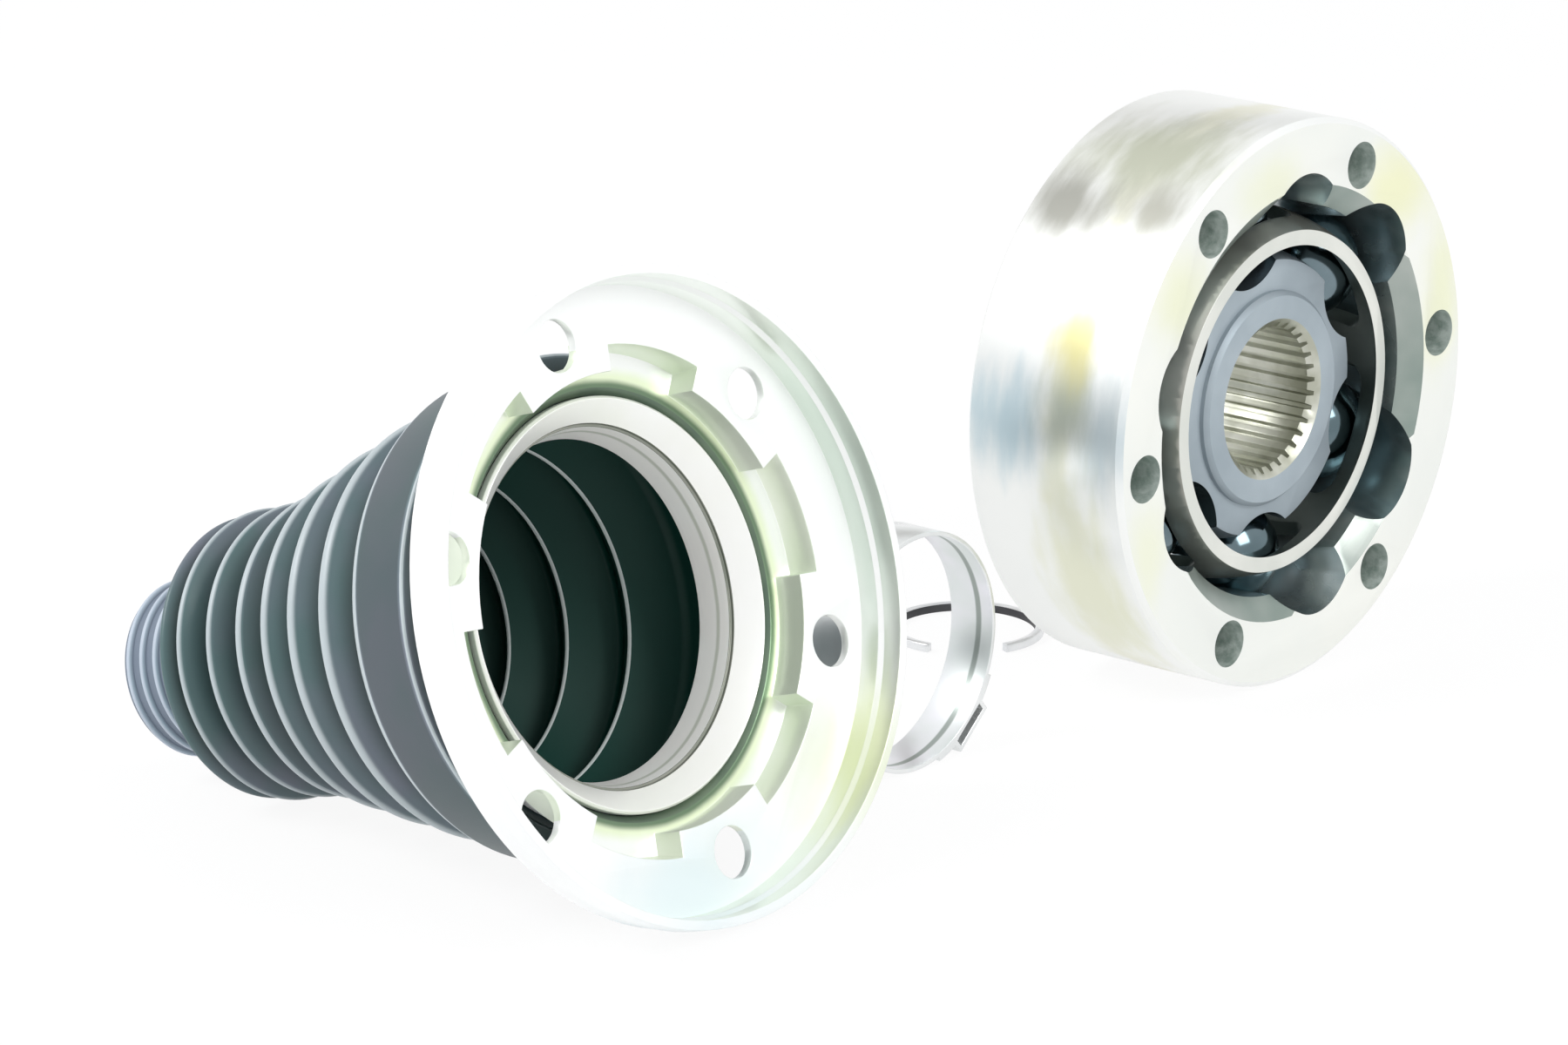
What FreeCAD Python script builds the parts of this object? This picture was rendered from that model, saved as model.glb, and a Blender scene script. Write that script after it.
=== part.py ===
import FreeCAD, Part
import math
import os
import Sketcher

from FreeCAD import Placement, Rotation, Vector

# A plunging constant velocity joint, taken apart for fitting: the ball joint stands on its rim,
# and its boot, the boot's clamp and the shaft's circlip lie beside it.
# Millimetres. The origin is the joint's centre, +X is the shaft line towards the gearbox side,
# +Z is up. Angles are in degrees.

SIZES = [
    # outer race
    ("race_radius", 50.0, "outside of the outer race"),
    ("race_half", 16.5, "half the outer race's width"),
    ("race_chamfer", 1.0, "edge chamfer of the outer race"),
    ("race_wall", 15.5, "from the outside of the outer race to its bore"),
    ("mouth_flare", 3.9, "width of the bore's chamfer"),
    ("mouth_depth", 3.0, "depth of the bore's chamfer"),
    ("bolt_edge", 7.0, "bolt circle inside the outside of the outer race"),
    ("bolt_radius", 4.15, "bolt hole of the outer race"),
    ("bolt_from_top", 24.8, "first bolt hole, clockwise from the top"),
    # balls and tracks
    ("ball_radius", 9.525, "ball"),
    ("pitch_edge", 19.5, "ball centres inside the outside of the outer race"),
    ("track_play", 0.15, "radial play of a ball in its track"),
    ("track_skew", 16.0, "track's slant across the face"),
    # cage
    ("cage_play", 1.3, "from the bore of the outer race to the cage's outer sphere"),
    ("cage_wall", 2.4, "wall of the cage"),
    ("cage_half", 14.0, "half the cage's width"),
    ("window_play", 0.22, "play of a ball along the axis in its window"),
    ("window_travel", 2.4, "room for the ball along the cage at each side"),
    ("window_corner", 3.5, "corner radius of a window"),
    # inner race
    ("hub_drop", 4.2, "from the ball centres to the outer sphere of the inner race"),
    ("hub_half", 10.0, "half the width of the inner race at its lands"),
    ("boss_radius", 19.0, "raised boss of the inner race"),
    ("boss_height", 1.6, "height of the boss above the lands"),
    ("boss_chamfer", 0.8, "edge chamfer of the boss"),
    ("spline_root", 13.4, "radius at the bottom of the spline grooves"),
    ("spline_tip", 12.5, "radius at the tips of the spline teeth"),
    ("spline_mouth", 14.2, "outer edge of the spline's lead-in"),
    ("spline_count", 33, "teeth of the spline"),
    ("groove_foot", 1.3, "width of a spline groove at its open side, in quarter pitches"),
    ("groove_top", 0.6, "width of a spline groove at its root, in quarter pitches"),
    ("groove_reach", 1.0, "groove cutter inside the tips of the teeth"),
    # sheet-metal cap of the boot
    ("sheet", 1.6, "sheet thickness"),
    ("lip_play", 0.25, "play of the cap's lip on the outer race"),
    ("lip_depth", 8.0, "depth of the lip"),
    ("lip_step_depth", 3.6, "depth of the wider mouth of the lip"),
    ("lip_step", 0.7, "step of the lip's mouth"),
    ("lip_round", 2.0, "rounding behind the lip"),
    ("cap_bolt_radius", 4.25, "bolt hole of the cap"),
    ("cap_bolt_from_top", -8.0, "first bolt hole of the cap, clockwise from the top"),
    ("land_edge", 13.4, "from the outside of the outer race to the lands between the pockets"),
    ("pocket_edge", 9.0, "from the outside of the outer race to the pockets"),
    ("pocket_draft", 0.8, "taper of the pocket's outer wall"),
    ("pocket_angle", 29.0, "width of a pocket"),
    ("pocket_depth", 5.5, "depth of the pockets below the face"),
    ("collar_edge", 16.6, "from the outside of the outer race to the collar that holds the boot"),
    ("collar_flare", 1.3, "flare of the collar's mouth"),
    ("collar_length", 6.6, "collar behind the pocket floor"),
    ("collar_curl", 1.2, "curl of the collar's end over the boot's bead"),
    # funnel-shaped ring that holds the boot's bead in the collar
    ("ring_play", 0.1, "play of the retaining ring in the collar"),
    ("ring_rise", 0.4, "retaining ring above the pocket floor"),
    ("ring_lip", 0.5, "rounding of the retaining ring's outer edge"),
    ("ring_funnel", 3.6, "width and depth of the retaining ring's funnel"),
    ("ring_wall", 1.3, "wall of the retaining ring"),
    ("ring_step", 0.4, "step between the funnel and the sleeve"),
    ("ring_taper", 1.4, "narrowing of the sleeve"),
    ("ring_sleeve", 5.5, "length of the sleeve"),
    # boot
    ("boot_wall", 1.3, "wall of the bellows"),
    ("bead_gap", 0.1, "gap round the boot's bead"),
    ("collar_gap", 0.3, "from the end of the collar to the boot's shoulder"),
    ("shoulder_depth", 24.6, "where the shoulder ends, from the cap's rim"),
    ("shoulder_set", 0.6, "inner edge of the shoulder behind and below its outer edge"),
    ("first_crest", 32.0, "largest fold, from the cap's rim"),
    ("large_crest", 38.6, "radius of the largest fold"),
    ("small_crest", 24.5, "radius of the smallest folds"),
    ("crest_taper", 0.3, "fold radius lost for each unit of length"),
    ("fold_count", 7, "folds"),
    ("large_pitch", 11.8, "pitch of the folds at the large end"),
    ("small_pitch", 8.8, "pitch of the folds at the small end"),
    ("fold_depth", 6.0, "depth of the folds"),
    ("crest_round", 1.7, "rounding of a fold's crest"),
    ("root_round", 1.0, "rounding between two folds"),
    ("neck_gap", 0.2, "gap between the bellows and the neck"),
    ("neck_radius", 14.3, "outside of the neck"),
    ("neck_bore", 12.0, "bore of the neck, which grips the shaft"),
    ("neck_length", 19.6, "length of the neck behind the bellows"),
    ("rib_height", 0.7, "ribs of the neck"),
    ("rib_width", 1.5, "width of a rib"),
    ("rib_pitch", 3.2, "pitch of the ribs"),
    ("rib_count", 4, "ribs of the neck"),
    # place of the boot
    ("boot_place_x", 11.4, "centre of the cap's rim"),
    ("boot_place_y", -156.1, "centre of the cap's rim"),
    # clamp for the neck, still open
    ("clamp_radius", 19.9, "inside of the open clamp"),
    ("clamp_band", 0.8, "band thickness"),
    ("clamp_width", 9.0, "band width"),
    ("clamp_overlap", 50.0, "angle over which the band lies double"),
    ("clamp_ear_height", 2.4, "height of the ear"),
    ("clamp_ear_width", 9.4, "width of the ear along the band"),
    ("clamp_turn", -49.0, "ear below the level, seen from the gearbox side"),
    ("clamp_place_x", -6.8, "middle of the clamp"),
    ("clamp_place_y", -80.0, "middle of the clamp"),
    # circlip of the shaft
    ("clip_radius", 14.0, "outside of the circlip"),
    ("clip_section", 1.5, "width and thickness of the circlip"),
    ("clip_gap", 60.0, "opening of the circlip"),
    ("clip_turn", -50.0, "direction of the opening"),
    ("clip_place_x", -44.0, "middle of the circlip"),
    ("clip_place_y", -15.0, "middle of the circlip"),
]

BALLS = 6

# radii that follow from the outside of the outer race
BORE = "race_radius - race_wall"
BOLT_CIRCLE = "race_radius - bolt_edge"
PITCH = "race_radius - pitch_edge"
CAGE_SPHERE = BORE + " - cage_play"
HUB_SPHERE = PITCH + " - hub_drop"
LAND = "race_radius - land_edge"
POCKET = "race_radius - pocket_edge"
COLLAR = "race_radius - collar_edge"

doc = FreeCAD.newDocument("cv_joint")
sheet = doc.addObject("Spreadsheet::Sheet", "sizes")
for row, (alias, amount, note) in enumerate(SIZES, start=1):
    sheet.set(f"A{row}", note)
    sheet.set(f"B{row}", str(amount))
    sheet.setAlias(f"B{row}", alias)
doc.recompute()
size = {alias: float(sheet.get(alias)) for alias, amount, note in SIZES}

def number(text):
    """Add up named sizes, such as 'race_half - race_chamfer'."""
    total, sign = 0.0, 1
    for word in text.split():
        if word in ("+", "-"):
            sign = 1 if word == "+" else -1
        elif word != "0":
            total += sign * size[word]
            sign = 1
    return total


def formula(text):
    """The same sum as an expression on the spreadsheet."""
    return " ".join(word if word in ("+", "-") else "sizes." + word for word in text.split())


def plane(body, role):
    return [item for item in body.Origin.OriginFeatures if item.Role == role][0]


def outline(body, name, corners, role="XY_Plane"):
    """A closed sketch of straight edges whose corners are tied to named sizes."""
    sketch = body.newObject("Sketcher::SketchObject", name)
    sketch.AttachmentSupport = (plane(body, role), [""])
    sketch.MapMode = "FlatFace"
    points = [Vector(number(across), number(up), 0) for across, up in corners]
    for index, point in enumerate(points):
        sketch.addGeometry(Part.LineSegment(point, points[(index + 1) % len(points)]), False)
    for index in range(len(points)):
        sketch.addConstraint(Sketcher.Constraint("Coincident", index, 2, (index + 1) % len(points), 1))
    for index, (across, up) in enumerate(corners):
        if across == "0":
            sketch.addConstraint(Sketcher.Constraint("PointOnObject", index, 1, -2))
        for kind, text in (("DistanceX", across), ("DistanceY", up)):
            if text == "0":
                continue
            place = sketch.addConstraint(Sketcher.Constraint(kind, -1, 1, index, 1, number(text)))
            sketch.setExpression(f"Constraints[{place}]", formula(text))
    return sketch


def turned(name, corners):
    """A body turned round the X axis from (along, radius) corners."""
    body = doc.addObject("PartDesign::Body", name)
    sketch = outline(body, name + "_profile", corners)
    turn = body.newObject("PartDesign::Revolution", name + "_turn")
    turn.Profile = sketch
    turn.ReferenceAxis = (sketch, ["H_Axis"])
    turn.Angle = 360.0
    body.Tip = turn
    return body


def clock(turn, radius):
    """The point at a radius and an angle clockwise from the top, seen from the gearbox side."""
    angle = math.radians(turn)
    return Vector(0, radius * math.sin(angle), radius * math.cos(angle))


def along_x(start):
    """The place of a cylinder that runs along +X from a start point."""
    return Placement(start, Rotation(Vector(0, 0, 1), Vector(1, 0, 0)))


def primitive(kind, name, place=None, **sizes):
    """A Part or PartDesign primitive whose sizes are sums of named sizes."""
    item = doc.addObject(kind, name)
    for field, text in sizes.items():
        item.setExpression(field, formula(text))
    if place:
        item.Placement = place
    return item


def bored(body, name, place, radius, height):
    """Cut a cylinder out of a body."""
    cut = body.newObject("PartDesign::SubtractiveCylinder", name)
    cut.setExpression("Radius", formula(radius))
    cut.setExpression("Height", formula(height))
    cut.Placement = place
    body.Tip = cut
    doc.recompute()
    return cut


def repeated(body, feature, count, name):
    """Repeat a feature evenly round the X axis."""
    pattern = body.newObject("PartDesign::PolarPattern", name)
    pattern.Originals = [feature]
    pattern.Axis = (plane(body, "X_Axis"), [""])
    pattern.Angle = 360.0
    pattern.Occurrences = count
    body.Tip = pattern
    doc.recompute()
    return pattern


def joined(kind, name, shapes):
    """A Part::MultiFuse or Part::MultiCommon of several shapes."""
    item = doc.addObject(kind, name)
    item.Shapes = shapes
    return item


def less(name, base, tool):
    item = doc.addObject("Part::Cut", name)
    item.Base = base
    item.Tool = tool
    return item


def ball_turn(index):
    """Clock angle of a ball: halfway between two bolt holes."""
    step = 360.0 / BALLS
    return size["bolt_from_top"] - step / 2 + index * step


def track_place(index, side, half_length):
    """The place of a track's cutter. side is 1 for the outer race and -1 for the inner race."""
    turn = math.radians(ball_turn(index))
    skew = math.radians(size["track_skew"]) * side * (1 if index % 2 == 0 else -1)
    across = Vector(0, math.cos(turn), -math.sin(turn))
    direction = Vector(math.cos(skew), 0, 0) + across * math.sin(skew)
    middle = clock(ball_turn(index), number(PITCH))
    return Placement(middle - direction * half_length, Rotation(Vector(0, 0, 1), direction))


# outer race: a turned ring with six bolt holes and six slanting tracks, which meet in pairs at
# every second hole

outer_race = turned("outer_race", [
    ("- race_half", BORE + " + mouth_flare"),
    ("- race_half", "race_radius - race_chamfer"),
    ("- race_half + race_chamfer", "race_radius"),
    ("race_half - race_chamfer", "race_radius"),
    ("race_half", "race_radius - race_chamfer"),
    ("race_half", BORE + " + mouth_flare"),
    ("race_half - mouth_depth", BORE),
    ("- race_half + mouth_depth", BORE),
])
doc.recompute()
hole_start = clock(size["bolt_from_top"], number(BOLT_CIRCLE)) - Vector(size["race_half"] + 1, 0, 0)
hole = bored(outer_race, "race_bolt_hole", along_x(hole_start), "bolt_radius",
             "race_half + race_half + race_half")
repeated(outer_race, hole, BALLS, "race_bolt_holes")
for first, name in ((0, "track_right"), (1, "track_left")):
    place = track_place(first, 1, 2 * size["race_half"])
    track = bored(outer_race, name, place, "ball_radius + track_play",
                  "race_half + race_half + race_half + race_half")
    repeated(outer_race, track, BALLS // 2, name + "s")

# cage: a slice of a hollow sphere with a window for each ball

cage_ball = primitive("Part::Sphere", "cage_ball", Radius=CAGE_SPHERE)
cage_slab = primitive("Part::Cylinder", "cage_slab", along_x(Vector(-size["cage_half"], 0, 0)),
                      Radius="race_radius", Height="cage_half + cage_half")
cage_hollow = primitive("Part::Sphere", "cage_hollow", Radius=CAGE_SPHERE + " - cage_wall")
cage_ring = less("cage_ring", joined("Part::MultiCommon", "cage_slice", [cage_ball, cage_slab]),
                 cage_hollow)
windows = []
for index in range(BALLS):
    turn = Rotation(Vector(1, 0, 0), -ball_turn(index))
    corner = Vector(-size["ball_radius"] - size["window_play"],
                    -size["ball_radius"] - size["window_travel"], 0)
    block = primitive("Part::Box", f"window_block_{index + 1}", Placement(turn.multVec(corner), turn),
                      Length="ball_radius + ball_radius + window_play + window_play",
                      Width="ball_radius + ball_radius + window_travel + window_travel",
                      Height="race_radius")
    doc.recompute()
    window = doc.addObject("Part::Fillet", f"window_{index + 1}")
    window.Base = block
    outward = turn.multVec(Vector(0, 0, 1))
    window.Edges = [(place + 1, size["window_corner"], size["window_corner"])
                    for place, edge in enumerate(block.Shape.Edges)
                    if edge.tangentAt(edge.FirstParameter).cross(outward).Length < 0.01]
    windows.append(window)
cage = less("cage", cage_ring, joined("Part::MultiFuse", "windows", windows))

# inner race: a spherical ring on a splined hub, its tracks slanting against those outside

hub = turned("hub", [
    ("- hub_half - boss_height", "spline_mouth"),
    ("- hub_half - boss_height", "boss_radius - boss_chamfer"),
    ("- hub_half - boss_height + boss_chamfer", "boss_radius"),
    ("hub_half + boss_height - boss_chamfer", "boss_radius"),
    ("hub_half + boss_height", "boss_radius - boss_chamfer"),
    ("hub_half + boss_height", "spline_mouth"),
    ("hub_half + boss_height - spline_mouth + spline_tip", "spline_tip"),
    ("- hub_half - boss_height + spline_mouth - spline_tip", "spline_tip"),
])
doc.recompute()
quarter_pitch = math.pi * size["spline_tip"] / size["spline_count"] / 2
groove = hub.newObject("Sketcher::SketchObject", "spline_groove")
groove.AttachmentSupport = (plane(hub, "YZ_Plane"), [""])
groove.MapMode = "FlatFace"
groove_foot, groove_top = size["groove_foot"] * quarter_pitch, size["groove_top"] * quarter_pitch
groove_low = number("spline_tip - groove_reach")
groove_points = [Vector(-groove_foot, groove_low, 0), Vector(groove_foot, groove_low, 0),
                 Vector(groove_top, size["spline_root"], 0), Vector(-groove_top, size["spline_root"], 0)]
for place, point in enumerate(groove_points):
    groove.addGeometry(Part.LineSegment(point, groove_points[(place + 1) % 4]), False)
for place in range(4):
    groove.addConstraint(Sketcher.Constraint("Coincident", place, 2, (place + 1) % 4, 1))
groove_cut = hub.newObject("PartDesign::Pocket", "spline_groove_cut")
groove_cut.Profile = groove
groove_cut.Type = "ThroughAll"
groove_cut.Midplane = True
hub.Tip = groove_cut
doc.recompute()
repeated(hub, groove_cut, int(size["spline_count"]), "spline")

land_ball = primitive("Part::Sphere", "land_ball", Radius=HUB_SPHERE)
land_slab = primitive("Part::Cylinder", "land_slab", along_x(Vector(-size["hub_half"], 0, 0)),
                      Radius="race_radius", Height="hub_half + hub_half")
land_bore = primitive("Part::Cylinder", "land_bore", along_x(Vector(-size["race_half"], 0, 0)),
                      Radius="boss_radius - boss_chamfer", Height="race_half + race_half")
lands = less("lands", joined("Part::MultiCommon", "land_slice", [land_ball, land_slab]), land_bore)
hub_tracks = [primitive("Part::Cylinder", f"hub_track_{index + 1}",
                        track_place(index, -1, 2 * size["race_half"]),
                        Radius="ball_radius + track_play",
                        Height="race_half + race_half + race_half + race_half")
              for index in range(BALLS)]
inner_race = less("inner_race", joined("Part::MultiFuse", "hub_with_lands", [hub, lands]),
                  joined("Part::MultiFuse", "hub_tracks", hub_tracks))

balls = [primitive("Part::Sphere", f"ball_{index + 1}",
                   Placement(clock(ball_turn(index), number(PITCH)), Rotation()),
                   Radius="ball_radius")
         for index in range(BALLS)]

# folds of the boot: their crests grow from the neck to the cap, and so does their pitch

fold_depths, fold_radii = [size["first_crest"]], [size["large_crest"]]
folds = int(size["fold_count"])
for index in range(folds - 1):
    share = index / max(folds - 2, 1)
    pitch = size["large_pitch"] * (1 - share) + size["small_pitch"] * share
    fold_depths.append(fold_depths[-1] + pitch)
    fold_radii.append(max(size["small_crest"],
                          size["large_crest"] - size["crest_taper"] * (fold_depths[-1] - size["first_crest"])))

# the boot lies on the heel of the cap's lip and on its last fold, so its axis rises to the open end
floor = -size["race_radius"]
heel_radius = number("race_radius + lip_play + sheet")
heel_depth = number("lip_depth + sheet - lip_round")
boot_tilt = math.atan2(heel_radius - fold_radii[-1], fold_depths[-1] - heel_depth)
boot_height = floor + heel_radius * math.cos(boot_tilt) + heel_depth * math.sin(boot_tilt)
boot_place = Placement(Vector(size["boot_place_x"], size["boot_place_y"], boot_height),
                       Rotation(Vector(0, 1, 0), -math.degrees(boot_tilt)))

# cap: a pressed sheet with a stepped lip, a bolt face, pockets between the bolts and a collar.
# It is drawn with its rim at 0 and its back towards -X.

cap_face = turned("cap_face", [
    ("0", "race_radius + lip_play + lip_step"),
    ("- lip_step_depth", "race_radius + lip_play + lip_step"),
    ("- lip_step_depth - lip_step", "race_radius + lip_play"),
    ("- lip_depth", "race_radius + lip_play"),
    ("- lip_depth", COLLAR),
    ("- lip_depth - sheet", COLLAR),
    ("- lip_depth - sheet", "race_radius + lip_play + sheet - lip_round"),
    ("- lip_depth - sheet + lip_round", "race_radius + lip_play + sheet"),
    ("- lip_step_depth - lip_step", "race_radius + lip_play + sheet"),
    ("- lip_step_depth", "race_radius + lip_play + lip_step + sheet"),
    ("0", "race_radius + lip_play + lip_step + sheet"),
])
floor_back = -number("lip_depth + pocket_depth + sheet")
cup = primitive("Part::Cylinder", "cap_cup", along_x(Vector(floor_back, 0, 0)),
                Radius=LAND + " + sheet", Height="pocket_depth + sheet")
collar_back = floor_back - size["collar_length"]
collar = primitive("Part::Cylinder", "cap_collar", along_x(Vector(collar_back, 0, 0)),
                   Radius=COLLAR + " + sheet", Height="collar_length + sheet")
cup_hollow = primitive("Part::Cylinder", "cap_cup_hollow",
                       along_x(Vector(floor_back + size["sheet"], 0, 0)),
                       Radius=LAND, Height="pocket_depth + sheet")
collar_bore = primitive("Part::Cylinder", "cap_collar_bore",
                        along_x(Vector(collar_back + size["sheet"], 0, 0)),
                        Radius=COLLAR, Height="collar_length + sheet")
collar_mouth = primitive("Part::Cone", "cap_collar_mouth",
                         along_x(Vector(floor_back + size["sheet"] - size["collar_flare"], 0, 0)),
                         Radius1=COLLAR, Radius2=COLLAR + " + collar_flare", Height="collar_flare")
curl_bore = primitive("Part::Cylinder", "cap_curl_bore", along_x(Vector(collar_back, 0, 0)),
                      Radius=COLLAR + " - collar_curl", Height="collar_length")
cap_step = 360.0 / BALLS
side_angle = math.degrees(math.asin(size["sheet"] / number(LAND)))
pocket_blocks, pocket_hollows, cap_holes = [], [], []
for index in range(BALLS):
    middle = size["cap_bolt_from_top"] + (index + 0.5) * cap_step
    for widen, start, name, group, radius, height in (
            (side_angle, floor_back, "pocket_block", pocket_blocks,
             POCKET + " + sheet", "pocket_depth + sheet"),
            (0.0, floor_back + size["sheet"], "pocket_hollow", pocket_hollows,
             POCKET, "pocket_depth + sheet")):
        wide = size["pocket_angle"] + 2 * widen
        # a wedge starts at the bottom of its own circle and runs anticlockwise
        turn = Rotation(Vector(1, 0, 0), 90 - middle - wide / 2)
        wedge = primitive("Part::Cone", f"{name}_{index + 1}",
                          Placement(Vector(start, 0, 0), turn * Rotation(Vector(1, 1, 1), 120)),
                          Radius1=radius + " - pocket_draft", Radius2=radius, Height=height)
        wedge.Angle = wide
        group.append(wedge)
    hole_place = clock(size["cap_bolt_from_top"] + index * cap_step, number(BOLT_CIRCLE))
    cap_holes.append(primitive("Part::Cylinder", f"cap_bolt_hole_{index + 1}",
                               along_x(hole_place - Vector(size["lip_depth"] + 2 * size["sheet"], 0, 0)),
                               Radius="cap_bolt_radius", Height="sheet + sheet + sheet"))
cap_solid = joined("Part::MultiFuse", "cap_solid", [cap_face, cup, collar] + pocket_blocks)
cap_hollow = joined("Part::MultiFuse", "cap_hollow",
                    [cup_hollow, collar_mouth, collar_bore, curl_bore] + pocket_hollows + cap_holes)
boot_cap = less("boot_cap", cap_solid, cap_hollow)

# ring that presses the boot's bead into the collar: a funnel with a sleeve behind it

ring_front = "- lip_depth - pocket_depth + ring_rise"
ring_outer = COLLAR + " - ring_play"
funnel_end = ring_front + " - ring_funnel"
funnel_inner = ring_outer + " - ring_lip - ring_funnel"
ring_knee = funnel_end + " - ring_step - ring_lip - ring_lip"
ring_end = funnel_end + " - ring_step - ring_sleeve"
sleeve_inner = funnel_inner + " - ring_step"
retaining_ring = turned("boot_retaining_ring", [
    (ring_front, ring_outer + " - ring_lip"),
    (ring_front + " - ring_lip", ring_outer),
    (ring_front + " - ring_lip - ring_wall", ring_outer),
    (ring_knee, sleeve_inner + " + ring_wall"),
    (ring_end, sleeve_inner + " - ring_taper + ring_wall"),
    (ring_end, sleeve_inner + " - ring_taper"),
    (funnel_end + " - ring_step", sleeve_inner),
    (funnel_end + " - ring_step", funnel_inner),
    (funnel_end, funnel_inner),
])

# bellows: rounded folds with straight flanks. Crest and root circles have common centres on both
# sides of the wall.


def flank(crest, crest_radius, root, root_radius):
    """The points where a straight flank leaves a crest circle and meets a root circle."""
    across = root - crest
    lean = (crest_radius + root_radius) / across.Length
    along = across.normalize()
    upright = Vector(-along.y, along.x, 0)
    if upright.y < 0:
        upright = -upright
    normal = along * lean + upright * math.sqrt(1 - lean * lean)
    return crest + normal * crest_radius, root - normal * root_radius


def fold_side(crests, roots, inset, start, end):
    """Edges of one side of the folded wall, from the cap to the neck. inset goes into the wall."""
    crest_radius = size["crest_round"] - inset
    root_radius = size["root_round"] + inset
    edges, last = [], start
    for index, crest in enumerate(crests):
        if index == 0:
            lean = Vector(-size["crest_taper"], 1, 0).normalize()
            arrive = crest + lean * crest_radius
        else:
            arrive, root_end = flank(crest, crest_radius, roots[index - 1], root_radius)
            bottom = roots[index - 1] - Vector(0, root_radius, 0)
            edges.append(Part.Arc(last, bottom, root_end).toShape())
            last = root_end
        edges.append(Part.LineSegment(last, arrive).toShape())
        if index < len(roots):
            leave, last = flank(crest, crest_radius, roots[index], root_radius)
        else:
            leave = last = crest - Vector(crest_radius, 0, 0)
        peak = (arrive + leave) * 0.5 - crest
        edges.append(Part.Arc(arrive, crest + peak.normalize() * crest_radius, leave).toShape())
        if index < len(roots):
            edges.append(Part.LineSegment(leave, last).toShape())
    edges.append(Part.LineSegment(last, end).toShape())
    return edges


crest_centres = [Vector(-depth, radius - size["crest_round"], 0)
                 for depth, radius in zip(fold_depths, fold_radii)]
root_centres = []
for index in range(folds - 1):
    middle = (fold_depths[index] + fold_depths[index + 1]) / 2
    height = (fold_radii[index] + fold_radii[index + 1]) / 2
    root_centres.append(Vector(-middle, height - size["fold_depth"] + size["root_round"], 0))

# the bead fills the space between the ring's slanted back, the collar and its curl
bead_back = collar_back + size["sheet"] + size["bead_gap"]
bead_inner = number(sleeve_inner + " + ring_wall + bead_gap")
bead_outer = number(COLLAR + " - bead_gap")
bead_slant = number(ring_knee) - number(sleeve_inner + " + ring_wall") - size["bead_gap"] * math.sqrt(2)
throat = bead_outer - size["collar_curl"]
shoulder_front = collar_back - size["collar_gap"]
wall = size["boot_wall"]
end_outer = -fold_depths[-1] - size["crest_round"]


def band_radius(along, inset):
    """Radius of the smooth band between the shoulder and the first crest."""
    lean = Vector(-size["crest_taper"], 1, 0).normalize()
    meet = crest_centres[0] + lean * (size["crest_round"] - inset)
    return meet.y + size["crest_taper"] * (along - meet.x)


shoulder = -size["shoulder_depth"]
outer_start = Vector(shoulder, band_radius(shoulder, 0), 0)
inner_shoulder = shoulder - size["shoulder_set"]
inner_start = Vector(inner_shoulder, band_radius(inner_shoulder, wall), 0)
end_radius = size["neck_radius"] + size["neck_gap"]
outside = fold_side(crest_centres, root_centres, 0, outer_start, Vector(end_outer, end_radius, 0))
inside = fold_side(crest_centres, root_centres, wall, inner_start,
                   Vector(end_outer + wall, end_radius, 0))
mouth = [inner_start, Vector(shoulder_front - wall, inner_start.y - size["shoulder_set"], 0),
         Vector(shoulder_front - wall, bead_inner, 0),
         Vector(bead_slant + bead_inner, bead_inner, 0),
         Vector(bead_slant + bead_outer, bead_outer, 0), Vector(bead_back, bead_outer, 0),
         Vector(bead_back, throat, 0), Vector(shoulder_front, throat, 0),
         Vector(shoulder_front, outer_start.y - wall, 0), outer_start]
mouth_edges = [Part.LineSegment(one, two).toShape() for one, two in zip(mouth, mouth[1:])]
end_edge = Part.LineSegment(Vector(end_outer, end_radius, 0),
                            Vector(end_outer + wall, end_radius, 0)).toShape()
profile = Part.Wire(Part.__sortEdges__(outside + inside + mouth_edges + [end_edge]))
bellows = doc.addObject("Part::Feature", "boot_bellows")
bellows.Shape = Part.Face(profile).revolve(Vector(0, 0, 0), Vector(1, 0, 0), 360)

# neck of the boot with its clamp ribs, from the inside of the bellows' end wall

neck = doc.addObject("Part::Feature", "boot_neck")
neck_start = end_outer + wall
neck_end = end_outer - size["neck_length"]
neck_points = [Vector(neck_start, size["neck_bore"], 0), Vector(neck_start, size["neck_radius"], 0)]
for index in reversed(range(int(size["rib_count"]))):
    rib_middle = neck_end + size["rib_pitch"] * (index + 0.5)
    low, high = size["neck_radius"], size["neck_radius"] + size["rib_height"]
    half = size["rib_width"] / 2
    neck_points += [Vector(rib_middle + half, low, 0), Vector(rib_middle + half / 2, high, 0),
                    Vector(rib_middle - half / 2, high, 0), Vector(rib_middle - half, low, 0)]
neck_points += [Vector(neck_end, size["neck_radius"], 0), Vector(neck_end, size["neck_bore"], 0)]
neck_face = Part.Face(Part.makePolygon(neck_points + neck_points[:1]))
neck.Shape = neck_face.revolve(Vector(0, 0, 0), Vector(1, 0, 0), 360)

# clamp for the neck: an open band with a raised ear, standing on its edge

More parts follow.
